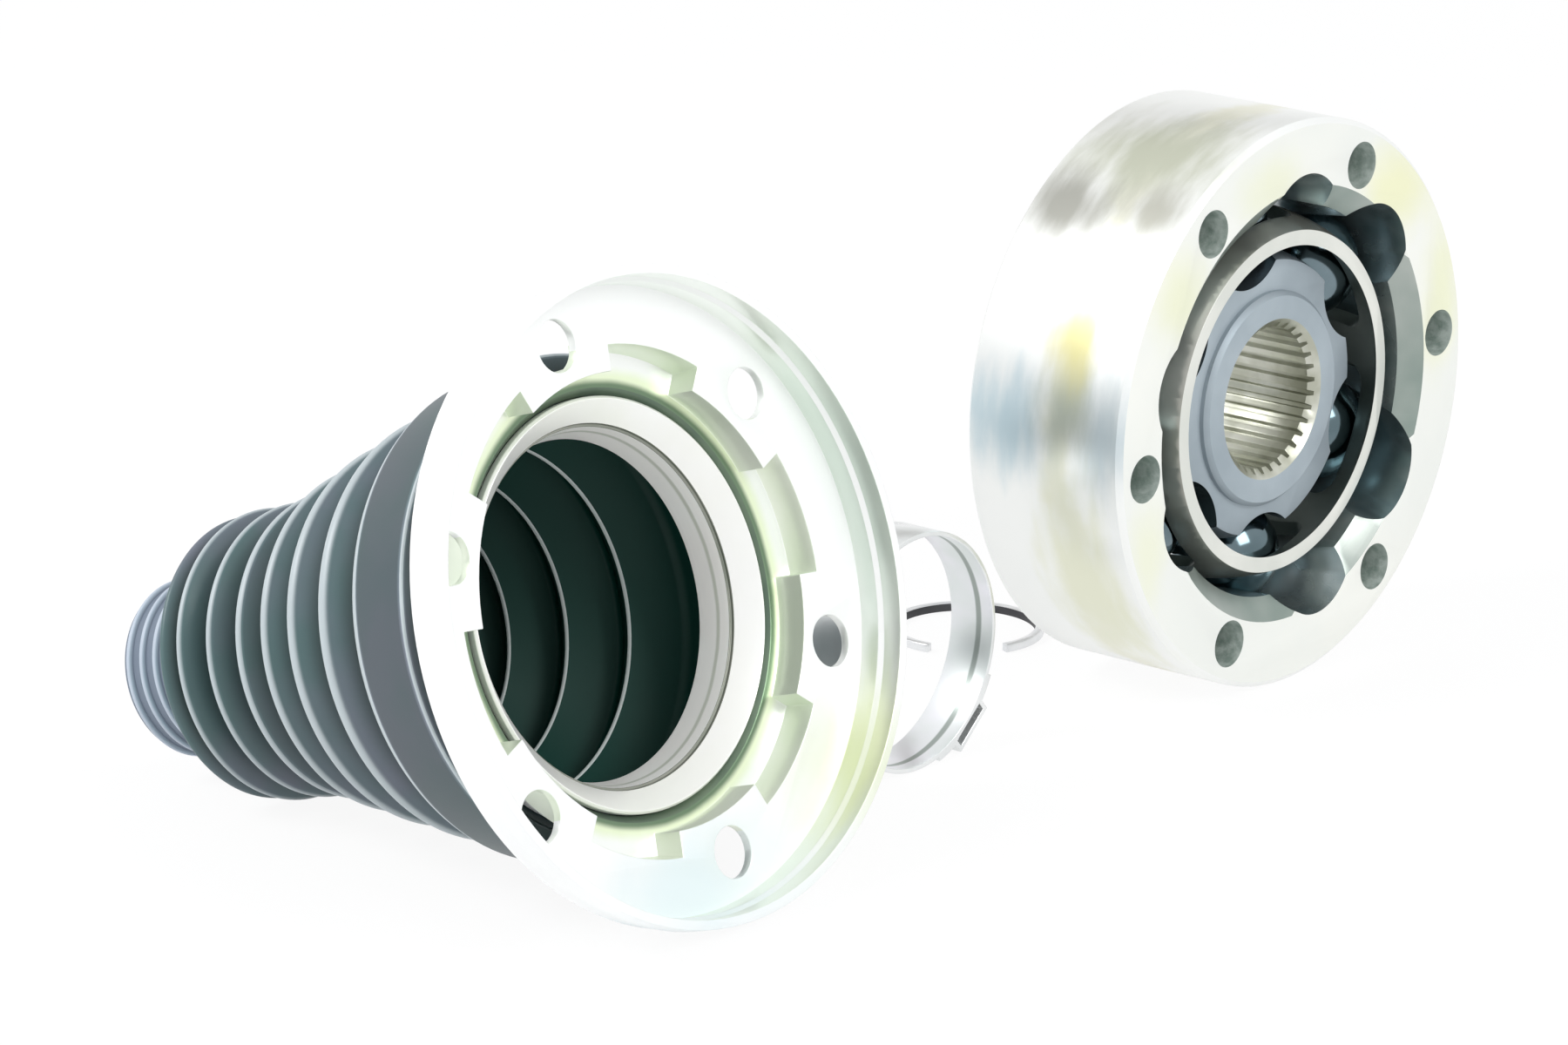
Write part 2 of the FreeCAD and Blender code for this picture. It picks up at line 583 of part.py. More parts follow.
clamp_start = Vector(-size["clamp_width"] / 2, 0, 0)
band_outer = primitive("Part::Cylinder", "clamp_outer", along_x(clamp_start),
                       Radius="clamp_radius + clamp_band", Height="clamp_width")
double_turn = Rotation(Vector(1, 0, 0), size["clamp_turn"] - size["clamp_overlap"] / 2)
band_double = primitive("Part::Cylinder", "clamp_double",
                        Placement(clamp_start, double_turn * Rotation(Vector(1, 1, 1), 120)),
                        Radius="clamp_radius + clamp_band + clamp_band", Height="clamp_width")
band_double.Angle = size["clamp_overlap"]
ear_turn = Rotation(Vector(1, 0, 0), size["clamp_turn"])
ear_corner = Vector(-size["clamp_width"] / 2, size["clamp_radius"], -size["clamp_ear_width"] / 2)
ear = primitive("Part::Box", "clamp_ear", Placement(ear_turn.multVec(ear_corner), ear_turn),
                Length="clamp_width", Width="clamp_band + clamp_ear_height", Height="clamp_ear_width")
slot_corner = Vector(-size["clamp_width"], size["clamp_radius"] + size["clamp_band"],
                     -size["clamp_ear_width"] / 2 + size["clamp_band"])
slot = primitive("Part::Box", "clamp_ear_slot", Placement(ear_turn.multVec(slot_corner), ear_turn),
                 Length="clamp_width + clamp_width", Width="clamp_ear_height - clamp_band",
                 Height="clamp_ear_width - clamp_band - clamp_band")
band_bore = primitive("Part::Cylinder", "clamp_bore",
                      along_x(Vector(-size["clamp_width"], 0, 0)),
                      Radius="clamp_radius", Height="clamp_width + clamp_width")
neck_clamp = less("neck_clamp",
                  joined("Part::MultiFuse", "clamp_solid", [band_outer, band_double, ear]),
                  joined("Part::MultiFuse", "clamp_hollow", [band_bore, slot]))
neck_clamp.Placement = Placement(
    Vector(size["clamp_place_x"], size["clamp_place_y"],
           floor + size["clamp_radius"] + size["clamp_band"]), Rotation())

# circlip of the shaft, lying flat

clip_outer = primitive("Part::Cylinder", "clip_outer", Radius="clip_radius", Height="clip_section")
clip_outer.Angle = 360 - size["clip_gap"]
clip_bore = primitive("Part::Cylinder", "clip_bore", Radius="clip_radius - clip_section",
                      Height="clip_section")
shaft_circlip = less("shaft_circlip", clip_outer, clip_bore)
shaft_circlip.Placement = Placement(Vector(size["clip_place_x"], size["clip_place_y"], floor),
                                    Rotation(Vector(0, 0, 1), size["clip_turn"] + size["clip_gap"] / 2))

for piece in (boot_cap, retaining_ring, bellows, neck):
    piece.Placement = boot_place
doc.recompute()

NODES = [outer_race, cage, inner_race] + balls + [
    boot_cap, retaining_ring, bellows, neck, neck_clamp, shaft_circlip]
for item in doc.Objects:
    if "Invalid" in item.State or "Error" in item.State:
        raise RuntimeError(f"{item.Name} failed: {item.State}")
os.makedirs("parts", exist_ok=True)
for node in NODES:
    shape = node.Shape
    if shape.isNull() or not shape.isValid() or not shape.Solids:
        raise RuntimeError(f"{node.Name} has no sound shape")
    shape.exportStep(os.path.join("parts", node.Name + ".step"))
    print(node.Name, len(shape.Solids), "solid,", round(shape.Volume), "mm3, faces", len(shape.Faces))
print("boot tilt", round(math.degrees(boot_tilt), 2), "folds", [round(d, 1) for d in fold_depths],
      [round(r, 1) for r in fold_radii])
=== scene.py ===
import math

import bmesh
import bpy
from mathutils import Matrix, Vector


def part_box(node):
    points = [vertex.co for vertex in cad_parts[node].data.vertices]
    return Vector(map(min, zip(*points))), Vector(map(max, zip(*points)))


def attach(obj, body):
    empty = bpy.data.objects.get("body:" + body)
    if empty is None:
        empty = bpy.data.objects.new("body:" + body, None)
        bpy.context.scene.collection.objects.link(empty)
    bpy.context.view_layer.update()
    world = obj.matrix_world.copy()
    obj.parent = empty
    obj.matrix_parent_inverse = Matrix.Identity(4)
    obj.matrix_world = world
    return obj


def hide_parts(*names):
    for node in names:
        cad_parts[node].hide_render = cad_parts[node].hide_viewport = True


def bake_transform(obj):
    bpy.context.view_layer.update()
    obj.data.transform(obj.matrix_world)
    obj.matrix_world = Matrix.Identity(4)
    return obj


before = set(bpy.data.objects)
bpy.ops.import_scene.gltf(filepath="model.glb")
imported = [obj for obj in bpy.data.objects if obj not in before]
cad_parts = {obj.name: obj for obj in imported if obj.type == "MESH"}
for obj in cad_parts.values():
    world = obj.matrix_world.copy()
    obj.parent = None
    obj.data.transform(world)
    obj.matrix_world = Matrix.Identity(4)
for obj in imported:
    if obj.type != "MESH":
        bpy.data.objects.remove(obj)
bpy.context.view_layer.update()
print("frame loaded")

mm = 0.001
bpy.context.scene.view_settings.view_transform = "Standard"


def startGroup(name, inputs, outputs):
    group = bpy.data.node_groups.new(name, "ShaderNodeTree")
    for label, kind, value in inputs:
        socket = group.interface.new_socket(label, in_out="INPUT", socket_type=kind)
        if value is not None:
            socket.default_value = value
    for label, kind in outputs:
        group.interface.new_socket(label, in_out="OUTPUT", socket_type=kind)
    return group, group.nodes.new("NodeGroupInput"), group.nodes.new("NodeGroupOutput")


def mathNode(tree, operation, first, second=None, clamp=False):
    node = tree.nodes.new("ShaderNodeMath")
    node.operation = operation
    node.use_clamp = clamp
    for index, value in enumerate((first, second)):
        if value is None:
            continue
        if isinstance(value, (int, float)):
            node.inputs[index].default_value = value
        else:
            tree.links.new(value, node.inputs[index])
    return node.outputs[0]


# soft cloudy patches, such as plating colour or a film of oil
def makePatches():
    group, start, end = startGroup("softPatches", [("Vector", "NodeSocketVector", None),
                                                   ("Scale", "NodeSocketFloat", 40.0),
                                                   ("Low", "NodeSocketFloat", 0.4),
                                                   ("High", "NodeSocketFloat", 0.6)],
                                   [("Mask", "NodeSocketFloat")])
    noise = group.nodes.new("ShaderNodeTexNoise")
    noise.inputs["Detail"].default_value = 3.0
    noise.inputs["Roughness"].default_value = 0.55
    spread = group.nodes.new("ShaderNodeMapRange")
    group.links.new(start.outputs["Vector"], noise.inputs["Vector"])
    group.links.new(start.outputs["Scale"], noise.inputs["Scale"])
    group.links.new(noise.outputs["Fac"], spread.inputs["Value"])
    group.links.new(start.outputs["Low"], spread.inputs["From Min"])
    group.links.new(start.outputs["High"], spread.inputs["From Max"])
    group.links.new(spread.outputs["Result"], end.inputs["Mask"])
    return group


# fine speckle, such as cast, phosphated or moulded surfaces
def makeGrain():
    group, start, end = startGroup("fineGrain", [("Vector", "NodeSocketVector", None),
                                                 ("Scale", "NodeSocketFloat", 1500.0)],
                                   [("Height", "NodeSocketFloat")])
    noise = group.nodes.new("ShaderNodeTexNoise")
    noise.inputs["Detail"].default_value = 2.0
    group.links.new(start.outputs["Vector"], noise.inputs["Vector"])
    group.links.new(start.outputs["Scale"], noise.inputs["Scale"])
    group.links.new(noise.outputs["Fac"], end.inputs["Height"])
    return group


# distance along the X axis and away from it
def makePlace():
    group, start, end = startGroup("turnedPlace", [("Vector", "NodeSocketVector", None)],
                                   [("Along", "NodeSocketFloat"), ("Radius", "NodeSocketFloat")])
    parts = group.nodes.new("ShaderNodeSeparateXYZ")
    group.links.new(start.outputs["Vector"], parts.inputs[0])
    across = mathNode(group, "POWER", parts.outputs["Y"], 2.0)
    up = mathNode(group, "POWER", parts.outputs["Z"], 2.0)
    group.links.new(parts.outputs["X"], end.inputs["Along"])
    away = mathNode(group, "SQRT", mathNode(group, "ADD", across, up))
    group.links.new(away, end.inputs["Radius"])
    return group


turnedPlace = makePlace()


# fine rings round the X axis, left by turning and grinding
def makeLathe():
    group, start, end = startGroup("latheRings", [("Vector", "NodeSocketVector", None),
                                                  ("Scale", "NodeSocketFloat", 900.0)],
                                   [("Height", "NodeSocketFloat")])
    place = group.nodes.new("ShaderNodeGroup")
    place.node_tree = turnedPlace
    group.links.new(start.outputs["Vector"], place.inputs["Vector"])
    flat = group.nodes.new("ShaderNodeCombineXYZ")
    group.links.new(place.outputs["Along"], flat.inputs["X"])
    group.links.new(place.outputs["Radius"], flat.inputs["Y"])
    noise = group.nodes.new("ShaderNodeTexNoise")
    noise.inputs["Detail"].default_value = 2.0
    group.links.new(flat.outputs[0], noise.inputs["Vector"])
    group.links.new(start.outputs["Scale"], noise.inputs["Scale"])
    group.links.new(noise.outputs["Fac"], end.inputs["Height"])
    return group


# a band with broken edges, 1 within half of middle. It lays stains, and also painted shade and
# painted reflections
def makeBand():
    group, start, end = startGroup("stainAndPaintedLightBand", [("Vector", "NodeSocketVector", None),
                                                 ("Value", "NodeSocketFloat", 0.0),
                                                 ("Middle", "NodeSocketFloat", 0.0),
                                                 ("Half", "NodeSocketFloat", 0.001),
                                                 ("Soft", "NodeSocketFloat", 0.001),
                                                 ("Break", "NodeSocketFloat", 0.001)],
                                   [("Mask", "NodeSocketFloat")])
    noise = group.nodes.new("ShaderNodeTexNoise")
    noise.inputs["Scale"].default_value = 90.0
    noise.inputs["Detail"].default_value = 3.0
    group.links.new(start.outputs["Vector"], noise.inputs["Vector"])
    shift = mathNode(group, "MULTIPLY", mathNode(group, "SUBTRACT", noise.outputs["Fac"], 0.5),
                     start.outputs["Break"])
    away = mathNode(group, "ABSOLUTE", mathNode(
        group, "SUBTRACT", mathNode(group, "ADD", start.outputs["Value"], shift),
        start.outputs["Middle"]))
    fade = group.nodes.new("ShaderNodeMapRange")
    fade.interpolation_type = "SMOOTHSTEP"
    group.links.new(away, fade.inputs["Value"])
    group.links.new(start.outputs["Half"], fade.inputs["From Min"])
    group.links.new(mathNode(group, "ADD", start.outputs["Half"], start.outputs["Soft"]),
                    fade.inputs["From Max"])
    fade.inputs["To Min"].default_value = 1.0
    fade.inputs["To Max"].default_value = 0.0
    group.links.new(fade.outputs["Result"], end.inputs["Mask"])
    return group


# a soft patch round one point, gone at its reach on each axis, with edges drawn out round X. It
# lays stains, and also painted shade and painted reflections
def makeSpot():
    group, start, end = startGroup("stainAndPaintedLightSpot", [("Vector", "NodeSocketVector", None),
                                                 ("Centre", "NodeSocketVector", (0.0, 0.0, 0.0)),
                                                 ("Reach", "NodeSocketVector", (0.01, 0.01, 0.01)),
                                                 ("Break", "NodeSocketFloat", 0.5)],
                                   [("Mask", "NodeSocketFloat")])
    shifted = group.nodes.new("ShaderNodeVectorMath")
    shifted.operation = "SUBTRACT"
    group.links.new(start.outputs["Vector"], shifted.inputs[0])
    group.links.new(start.outputs["Centre"], shifted.inputs[1])
    scaled = group.nodes.new("ShaderNodeVectorMath")
    scaled.operation = "DIVIDE"
    group.links.new(shifted.outputs[0], scaled.inputs[0])
    group.links.new(start.outputs["Reach"], scaled.inputs[1])
    away = group.nodes.new("ShaderNodeVectorMath")
    away.operation = "LENGTH"
    group.links.new(scaled.outputs[0], away.inputs[0])
    noise = group.nodes.new("ShaderNodeTexNoise")
    noise.inputs["Scale"].default_value = 80.0
    noise.inputs["Detail"].default_value = 5.0
    drawn = group.nodes.new("ShaderNodeVectorMath")
    drawn.operation = "MULTIPLY"
    drawn.inputs[1].default_value = (3.0, 0.8, 0.8)
    group.links.new(start.outputs["Vector"], drawn.inputs[0])
    group.links.new(drawn.outputs[0], noise.inputs["Vector"])
    shift = mathNode(group, "MULTIPLY", mathNode(group, "SUBTRACT", noise.outputs["Fac"], 0.5),
                     start.outputs["Break"])
    fade = group.nodes.new("ShaderNodeMapRange")
    fade.interpolation_type = "SMOOTHSTEP"
    group.links.new(mathNode(group, "ADD", away.outputs["Value"], shift), fade.inputs["Value"])
    for label, value in (("From Min", 0.1), ("From Max", 1.0), ("To Min", 1.0), ("To Max", 0.0)):
        fade.inputs[label].default_value = value
    group.links.new(fade.outputs["Result"], end.inputs["Mask"])
    return group


# masks for the painted shade at the bottom of a fold and the painted highlight on its crest, from
# the height kept in the boot's mesh
def makeFold():
    group, start, end = startGroup("foldPaintedLight", [("Height", "NodeSocketFloat", 0.5)],
                                   [("Root", "NodeSocketFloat"), ("Ridge", "NodeSocketFloat")])
    for label, low, high, first, last in (("Root", 0.0, 0.75, 1.0, 0.0),
                                          ("Ridge", 0.76, 0.98, 0.0, 1.0)):
        fade = group.nodes.new("ShaderNodeMapRange")
        fade.interpolation_type = "SMOOTHSTEP"
        group.links.new(start.outputs["Height"], fade.inputs["Value"])
        for setting, value in (("From Min", low), ("From Max", high),
                               ("To Min", first), ("To Max", last)):
            fade.inputs[setting].default_value = value
        group.links.new(fade.outputs["Result"], end.inputs[label])
    return group


softPatches, fineGrain, latheRings, stainAndPaintedLightBand = makePatches(), makeGrain(), makeLathe(), makeBand()
stainAndPaintedLightSpot, foldPaintedLight = makeSpot(), makeFold()


# lays a plain colour over another where the mask is 1
def overlay(tree, mask, under, colour):
    over = tree.nodes.new("ShaderNodeMix")
    over.data_type = "RGBA"
    tree.links.new(mask, over.inputs["Factor"])
    tree.links.new(under, over.inputs["A"])
    over.inputs["B"].default_value = (*colour, 1)
    return over.outputs["Result"]


surface = {"coatRoughness": 0.2, "tintRoughness": 1.25}


# main and tint are the two colours between which the patches run, and patch is their (scale,
# low, high). rings and grain are (scale, strength, depth) and turn is (location, rotation). Each
# band is (Along or Radius, middle, half, soft, break, colour) and each spot is (centre, reach,
# break, colour); bands and spots lay stains, and also painted shade and painted reflections.
# Lengths are in millimetres, but turn's location is in metres. fold is the painted shade at the
# bottom of a fold and the painted highlight on its crest.
def finish(name, main, tint, metallic, roughness, patch, roughTint=None, rings=None, grain=None,
           turn=None, coat=0.0, specular=0.5, bands=(), spots=(), fold=None):
    material = bpy.data.materials.new(name)
    material.use_nodes = True
    tree = material.node_tree
    shader = tree.nodes["Principled BSDF"]
    shader.inputs["Metallic"].default_value = metallic
    shader.inputs["Specular IOR Level"].default_value = specular
    shader.inputs["Coat Weight"].default_value = coat
    shader.inputs["Coat Roughness"].default_value = surface["coatRoughness"]
    coords = tree.nodes.new("ShaderNodeTexCoord")
    vector = coords.outputs["Object"]
    if turn:
        mapping = tree.nodes.new("ShaderNodeMapping")
        mapping.vector_type = "TEXTURE"
        mapping.inputs["Location"].default_value = turn[0]
        mapping.inputs["Rotation"].default_value = turn[1]
        tree.links.new(vector, mapping.inputs["Vector"])
        vector = mapping.outputs["Vector"]
    patches = tree.nodes.new("ShaderNodeGroup")
    patches.node_tree = softPatches
    tree.links.new(vector, patches.inputs["Vector"])
    for label, value in zip(("Scale", "Low", "High"), patch):
        patches.inputs[label].default_value = value
    mixed = tree.nodes.new("ShaderNodeMix")
    mixed.data_type = "RGBA"
    tree.links.new(patches.outputs["Mask"], mixed.inputs["Factor"])
    mixed.inputs["A"].default_value = (*main, 1)
    mixed.inputs["B"].default_value = (*tint, 1)
    colour = mixed.outputs["Result"]
    if bands:
        place = tree.nodes.new("ShaderNodeGroup")
        place.node_tree = turnedPlace
        tree.links.new(vector, place.inputs["Vector"])
    for measure, middle, half, soft, broken, bandColour in bands:
        band = tree.nodes.new("ShaderNodeGroup")
        band.node_tree = stainAndPaintedLightBand
        tree.links.new(vector, band.inputs["Vector"])
        tree.links.new(place.outputs[measure], band.inputs["Value"])
        for label, value in (("Middle", middle), ("Half", half), ("Soft", soft), ("Break", broken)):
            band.inputs[label].default_value = value * mm
        colour = overlay(tree, band.outputs["Mask"], colour, bandColour)
    for centre, reach, broken, spotColour in spots:
        spot = tree.nodes.new("ShaderNodeGroup")
        spot.node_tree = stainAndPaintedLightSpot
        tree.links.new(vector, spot.inputs["Vector"])
        spot.inputs["Centre"].default_value = [value * mm for value in centre]
        spot.inputs["Reach"].default_value = [value * mm for value in reach]
        spot.inputs["Break"].default_value = broken
        colour = overlay(tree, spot.outputs["Mask"], colour, spotColour)
    if fold:
        height = tree.nodes.new("ShaderNodeAttribute")
        height.attribute_name = "foldHeight"
        shade = tree.nodes.new("ShaderNodeGroup")
        shade.node_tree = foldPaintedLight
        tree.links.new(height.outputs["Fac"], shade.inputs["Height"])
        for label, foldColour in zip(("Root", "Ridge"), fold):
            colour = overlay(tree, shade.outputs[label], colour, foldColour)
    tree.links.new(colour, shader.inputs["Base Color"])
    if roughTint is None:
        roughTint = roughness * surface["tintRoughness"]
    rough = tree.nodes.new("ShaderNodeMapRange")
    rough.inputs["To Min"].default_value = roughness
    rough.inputs["To Max"].default_value = roughTint
    tree.links.new(patches.outputs["Mask"], rough.inputs["Value"])
    tree.links.new(rough.outputs["Result"], shader.inputs["Roughness"])
    relief = None
    for group, setting in ((latheRings, rings), (fineGrain, grain)):
        if not setting:
            continue
        texture = tree.nodes.new("ShaderNodeGroup")
        texture.node_tree = group
        texture.inputs["Scale"].default_value = setting[0]
        tree.links.new(vector, texture.inputs["Vector"])
        bump = tree.nodes.new("ShaderNodeBump")
        bump.inputs["Strength"].default_value = setting[1]
        bump.inputs["Distance"].default_value = setting[2] * mm
        tree.links.new(texture.outputs["Height"], bump.inputs["Height"])
        if relief:
            tree.links.new(relief, bump.inputs["Normal"])
        relief = bump.outputs["Normal"]
    if relief:
        tree.links.new(relief, shader.inputs["Normal"])
    return material


bootPlace = {"centre": (0.0114, -0.1561, 0.00172), "tilt": 17.603}
bootTurn = Matrix.Translation(bootPlace["centre"]) @ Matrix.Rotation(
    -math.radians(bootPlace["tilt"]), 4, "Y")
bootAxes = (bootPlace["centre"], (0.0, -math.radians(bootPlace["tilt"]), 0.0))

finishes = {
    # the side's darker patches on top and its blue-grey patches on the near side are painted
    # reflections of the surroundings; its ochre band round the middle and its ochre and beige
    # patches are partly oil film and partly painted reflection
    "raceOutside": finish("groundRaceSide", (0.93, 0.94, 0.92), (0.87, 0.89, 0.88), 0.6, 0.34,
                          (24.0, 0.42, 0.7), rings=(2600.0, 0.25, 0.05),
                          bands=[("Along", 3.0, 0.3, 4.5, 14.0, (0.84, 0.84, 0.72))],
                          spots=[((2, -20, 46), (22, 22, 14), 1.2, (0.54, 0.56, 0.45)),
                                 ((-9, -33, 38), (13, 13, 9), 0.9, (0.40, 0.40, 0.36)),
                                 ((9, -31, 39), (10, 12, 7), 0.9, (0.50, 0.50, 0.44)),
                                 ((-8, -50, 3), (13, 12, 14), 1.0, (0.55, 0.68, 0.73)),
                                 ((13, -49, 4), (9, 12, 15), 1.1, (0.58, 0.66, 0.69)),
                                 ((4, -49, 8), (9, 12, 12), 0.8, (0.48, 0.52, 0.44)),
                                 ((4, -46, 19), (8, 9, 15), 0.8, (0.70, 0.66, 0.34)),
                                 ((5, -42, -26), (13, 24, 34), 1.2, (0.80, 0.81, 0.65))]),
    "raceFace": finish("groundRaceFace", (0.88, 0.90, 0.86), (0.92, 0.93, 0.88), 0.7, 0.34,
                       (30.0, 0.4, 0.65), rings=(2200.0, 0.2, 0.04),
                       spots=[((16.5, -8, 40), (9, 14, 9), 0.9, (0.87, 0.89, 0.72)),
                              ((16.5, 30, 33), (9, 17, 12), 0.9, (0.88, 0.89, 0.62)),
                              ((16.5, 43, 12), (9, 9, 22), 0.9, (0.88, 0.90, 0.68)),
                              ((16.5, -33, 25), (9, 11, 13), 0.9, (0.86, 0.88, 0.68)),
                              ((16.5, -42, -18), (9, 8, 14), 0.9, (0.88, 0.90, 0.74))]),
    "raceMouth": finish("raceMouthChamfer", (0.27, 0.33, 0.30), (0.42, 0.46, 0.43), 0.8, 0.3,
                        (45.0, 0.4, 0.65), rings=(2200.0, 0.3, 0.05)),
    # the bore and the tracks are given a much darker colour than the race's faces
    "raceBore": finish("darkTracks", (0.17, 0.24, 0.25), (0.40, 0.45, 0.45), 0.8, 0.24,
                       (60.0, 0.4, 0.65)),
    "boltHoles": finish("drilledHoles", (0.30, 0.37, 0.33), (0.54, 0.60, 0.56), 0.3, 0.5,
                        (500.0, 0.35, 0.65), grain=(2500.0, 0.5, 0.1)),
    "cageEdge": finish("groundCageEdge", (0.72, 0.74, 0.69), (0.80, 0.81, 0.76), 0.8, 0.28,
                       (60.0, 0.4, 0.6), rings=(3000.0, 0.25, 0.04)),
    "cageBall": finish("hardenedCage", (0.36, 0.36, 0.32), (0.50, 0.50, 0.46), 0.8, 0.28,
                       (50.0, 0.4, 0.7), grain=(2500.0, 0.2, 0.03)),
    # the cage's walls inside the joint are given a much darker colour than its outside
    "cageWall": finish("darkCageInside", (0.065, 0.088, 0.080), (0.12, 0.145, 0.13), 0.5, 0.34,
                       (50.0, 0.4, 0.7), grain=(2500.0, 0.2, 0.03)),
    "hubFace": finish("phosphatedHub", (0.33, 0.39, 0.43), (0.42, 0.485, 0.525), 0.35, 0.45,
                      (60.0, 0.35, 0.65), rings=(1500.0, 0.25, 0.06), grain=(3000.0, 0.25, 0.03)),
    "hubTracks": finish("groundHubTracks", (0.10, 0.14, 0.15), (0.25, 0.28, 0.32), 0.8, 0.22,
                        (60.0, 0.4, 0.7)),
    "spline": finish("broachedSpline", (0.46, 0.47, 0.39), (0.66, 0.67, 0.60), 0.85, 0.3,
                     (120.0, 0.4, 0.6)),
    "balls": finish("polishedBalls", (0.12, 0.17, 0.19), (0.20, 0.26, 0.29), 1.0, 0.12,
                    (60.0, 0.4, 0.7)),
    # the cap's yellow-green patch and pale blue patch near its bottom are painted shade
    "cap": finish("platedCap", (0.98, 0.985, 0.98), (0.95, 0.975, 0.95), 0.3, 0.3,
                  (22.0, 0.42, 0.7), grain=(900.0, 0.15, 0.05), turn=bootAxes,
                  spots=[((-4, 36, -38), (16, 20, 20), 0.8, (0.86, 0.91, 0.72)),
                         ((-7, -6, -46), (16, 30, 14), 0.8, (0.82, 0.92, 0.93))]),
    # the lip's green-grey and yellow patches on its inner wall are painted shade
    "lipWall": finish("platedLip", (0.95, 0.98, 0.94), (0.88, 0.94, 0.86), 0.8, 0.3,
                      (30.0, 0.4, 0.65), grain=(900.0, 0.15, 0.05), turn=bootAxes,
                      spots=[((-4, 46, 8), (16, 26, 40), 0.6, (0.72, 0.81, 0.73)),
                             ((-4, 38, -36), (16, 22, 22), 0.7, (0.82, 0.88, 0.60))]),
    # the pocket walls are a darker green copy of the cap's plating: painted shade
    "capWall": finish("platedWalls", (0.80, 0.88, 0.72), (0.90, 0.94, 0.83), 0.4, 0.3,
                      (34.0, 0.4, 0.65), grain=(900.0, 0.15, 0.05), turn=bootAxes),
    "capFloor": finish("platedPockets", (0.97, 0.98, 0.97), (0.94, 0.97, 0.95), 0.7, 0.3,
                       (30.0, 0.4, 0.65), grain=(900.0, 0.15, 0.05), turn=bootAxes,
                       # the two Radius bands are a painted shadow round the bead ring: a dark line
                       # against the ring inside a yellow-green band
                       bands=[("Radius", 35.0, 1.2, 2.4, 2.0, (0.84, 0.93, 0.68)),
                              ("Radius", 34.5, 0.5, 1.3, 0.5, (0.16, 0.24, 0.15))]),
    # the collar is painted dark green, standing in for the shadow in the gap round the bead ring
    "collar": finish("collarPaintedShade", (0.10, 0.15, 0.11), (0.16, 0.22, 0.15), 0.5, 0.35,
                     (60.0, 0.4, 0.65), turn=bootAxes),
    "ring": finish("brightRing", (0.98, 0.98, 0.96), (0.95, 0.95, 0.91), 0.4, 0.28,
                   (50.0, 0.4, 0.6), rings=(2500.0, 0.2, 0.04), turn=bootAxes),
    "ringSleeve": finish("brightSleeve", (0.98, 0.96, 0.93), (0.97, 0.97, 0.94), 0.1, 0.3,
                         (50.0, 0.4, 0.6), rings=(1100.0, 0.5, 0.12), turn=bootAxes,
                         bands=[("Along", -19.2, 0.1, 0.4, 0.4, (0.62, 0.64, 0.57))]),
    # the ring's small inner step is painted dark, standing in for the shade in the groove there
    "ringStepShade": finish("ringStepShade", (0.22, 0.24, 0.20), (0.30, 0.31, 0.27), 0.6, 0.35,
                       (50.0, 0.4, 0.6), turn=bootAxes),
    # the folds get painted shade at their roots and painted highlights on their crests
    "rubber": finish("bootRubber", (0.090, 0.162, 0.166), (0.162, 0.184, 0.226), 0.0, 0.42,
                     (34.0, 0.38, 0.66), roughTint=0.5, grain=(1400.0, 0.18, 0.05), coat=0.1,
                     fold=((0.014, 0.030, 0.030), (0.50, 0.56, 0.58))),
    # the neck is a lighter copy of the boot's rubber, standing in for the strong light on it, with
    # painted shade between its ribs and painted highlights on them
    "neckRubberPaintedLight": finish("neckRubberPaintedLight", (0.37, 0.47, 0.55), (0.45, 0.53, 0.61), 0.0, 0.42,
                         (60.0, 0.38, 0.68), roughTint=0.5, grain=(1400.0, 0.15, 0.05), coat=0.1,
                         fold=((0.18, 0.22, 0.28), (0.52, 0.59, 0.68))),
    # the inside of the boot is a near-black copy of the rubber, painted shade, with painted
    # highlight lines along the deepest line of each fold
    "rubberInside": finish("bootInsidePaintedShade", (0.003, 0.048, 0.036), (0.009, 0.060, 0.047), 0.0, 0.4,
                           (26.0, 0.38, 0.68), roughTint=0.5, specular=0.2,
                           fold=((0.003, 0.048, 0.036), (0.88, 0.94, 0.92))),
    "clamp": finish("brightClamp", (0.86, 0.87, 0.87), (0.78, 0.80, 0.80), 0.85, 0.26,
                    (60.0, 0.4, 0.6)),
    "clampInside": finish("clampInside", (0.84, 0.84, 0.88), (0.76, 0.80, 0.79), 0.75, 0.3,
                          (60.0, 0.4, 0.6),
                          bands=[("Along", -5.3, 0.35, 0.4, 0.3, (0.34, 0.38, 0.36))]),
    "clip": finish("brightClip", (0.84, 0.85, 0.86), (0.74, 0.76, 0.78), 0.8, 0.28,
                   (90.0, 0.4, 0.6)),
    # the clip's inner face is painted near black, standing in for shade on its inner wall
    "clipInside": finish("clipInsidePaintedShade", (0.045, 0.045, 0.05), (0.08, 0.08, 0.085), 0.3, 0.5,
                         (90.0, 0.4, 0.6)),
}
print("finishes made:", len(finishes))


# degrees from one bolt hole to the next, in the race and in the cap
boltPitch = 60.0
# merging distances are in millimetres and angles in degrees
meshing = {"mergeCopy": 0.002, "mergeTurned": 0.005, "flatBelow": 0.5, "roundedAbove": 32.0,
           "sharpCopy": 38.0, "sharpTurned": 50.0, "edgeSteps": 2, "cornerSteps": 6}


